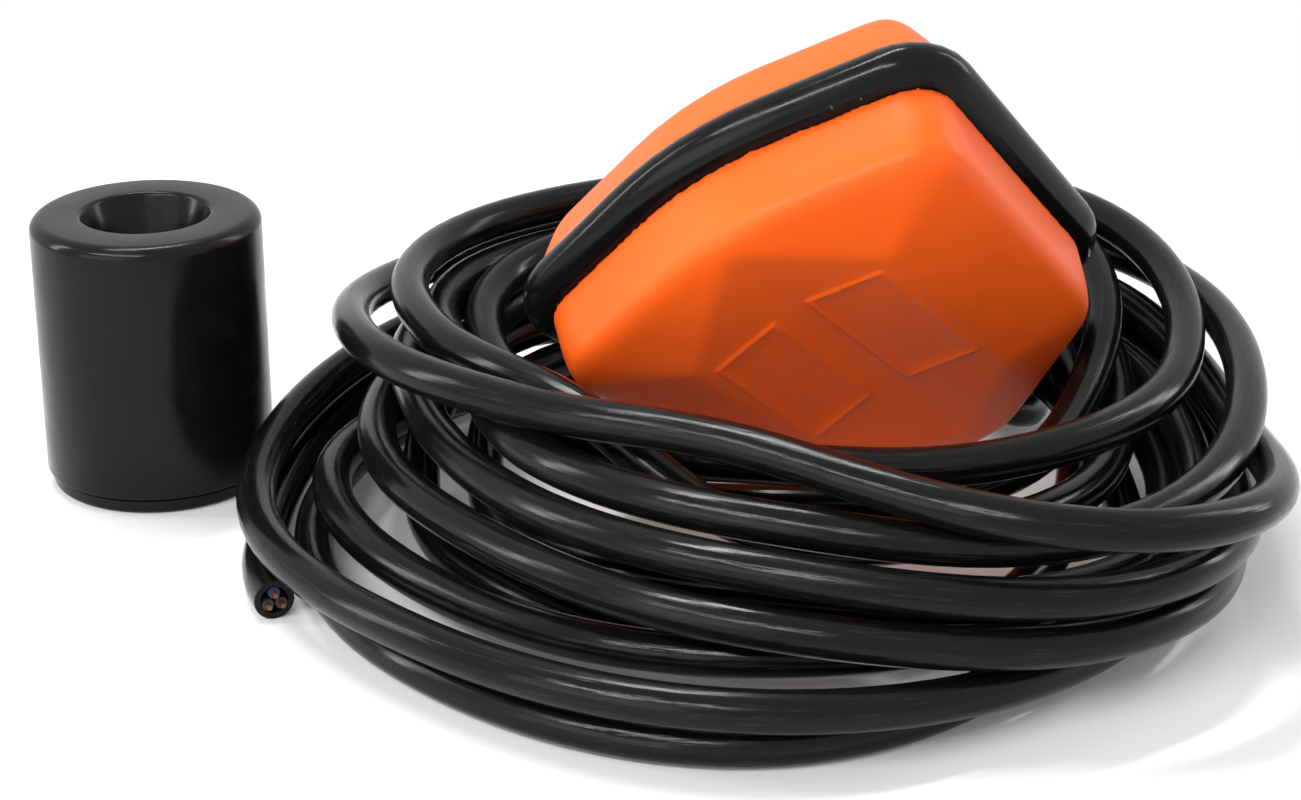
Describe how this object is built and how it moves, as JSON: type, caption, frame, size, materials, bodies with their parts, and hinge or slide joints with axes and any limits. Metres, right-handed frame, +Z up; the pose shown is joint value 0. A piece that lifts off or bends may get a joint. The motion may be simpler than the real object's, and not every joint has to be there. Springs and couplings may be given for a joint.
{
  "type": "cable float switch",
  "caption": "Faceted tilting float switch with a banded seam, lying in a loose coil of its rubber cable beside its slip-on cylindrical counterweight.",
  "frame": {"origin": "centre of the counterweight's base, at the foot of its cable bore", "axes": "+Z up along the counterweight's bore; +X from the counterweight towards the coil and the float; the object stands on z = 0"},
  "size_m": [0.283, 0.2288, 0.122],
  "materials": {
    "orange_shell": "satin moulded plastic",
    "black_rubber": "satin rubber",
    "cable_rubber": "satin rubber sheath",
    "weight_plastic": "satin moulded plastic",
    "iron": "rough",
    "case_plastic": "matte",
    "track_plastic": "matte",
    "dark_plastic": "matte",
    "red_plastic": "matte",
    "steel": "bright",
    "brass": "bright",
    "blue_core": "smooth insulation",
    "brown_core": "smooth insulation",
    "black_core": "smooth insulation"
  },
  "bodies": {
    "cable": {"cable_coil": "cable_rubber", "cable_lead": "cable_rubber", "cable_tail": "cable_rubber", "cut_cores": "brown_core"},
    "float": {"front_shell": "orange_shell", "rear_shell": "orange_shell", "seam_band": "black_rubber", "cable_boot": "black_rubber", "cable_entry": "cable_rubber", "entry_grommet": "black_rubber", "case_base": "case_plastic", "case_lid": "case_plastic", "case_gasket": "black_rubber", "case_screws": "steel", "ball_track": "track_plastic", "lever_pin": "steel", "switch_body": "dark_plastic", "switch_cover": "dark_plastic", "contact_terminals": "brass", "cable_clamp": "case_plastic", "clamp_screws": "steel", "core_blue": "blue_core", "core_brown": "brown_core", "core_black": "black_core"},
    "ball": {"steel_ball": "steel"},
    "lever": {"lever": "brass"},
    "plunger": {"switch_plunger": "red_plastic"},
    "blade": {"contact_blade": "brass"},
    "weight": {"weight_shell": "weight_plastic", "weight_base": "weight_plastic", "weight_ballast": "iron"}
  },
  "joints": [
    {"name": "float_tilt", "type": "hinge", "parent": "cable", "child": "float", "pos_m": [0.20171, 0.01167, 0.01479], "axis": [-0.9307, -0.3659, 0], "range_deg": [0, 20], "deforming": ["cable_lead"]},
    {"name": "ball_roll", "type": "slide", "parent": "float", "child": "ball", "axis": [-0.5917, -0.5089, 0.6252], "range_m": [0, 0.018]},
    {"name": "lever_swing", "type": "hinge", "parent": "float", "child": "lever", "pos_m": [0.16736, -0.01331, 0.03553], "axis": [0.7871, -0.197, 0.5845], "range_deg": [0, 10]},
    {"name": "plunger_press", "type": "slide", "parent": "float", "child": "plunger", "axis": [0.1743, -0.838, -0.5171], "range_m": [0, 0.0008]},
    {"name": "blade_flex", "type": "hinge", "parent": "float", "child": "blade", "pos_m": [0.16808, -0.01713, 0.06269], "axis": [0.7871, -0.197, 0.5845], "range_deg": [0, 5.38]},
    {"name": "weight_slide", "type": "slide", "parent": "cable", "child": "weight", "axis": [0, 0, 1], "range_m": [0, 0.1]}
  ],
  "couplings": [
    {"joint": "lever_swing", "follows": "ball_roll", "rad_per_m": 9.6963},
    {"joint": "plunger_press", "follows": "ball_roll", "ratio": 0.044444},
    {"joint": "blade_flex", "follows": "ball_roll", "rad_per_m": 5.2137}
  ]
}
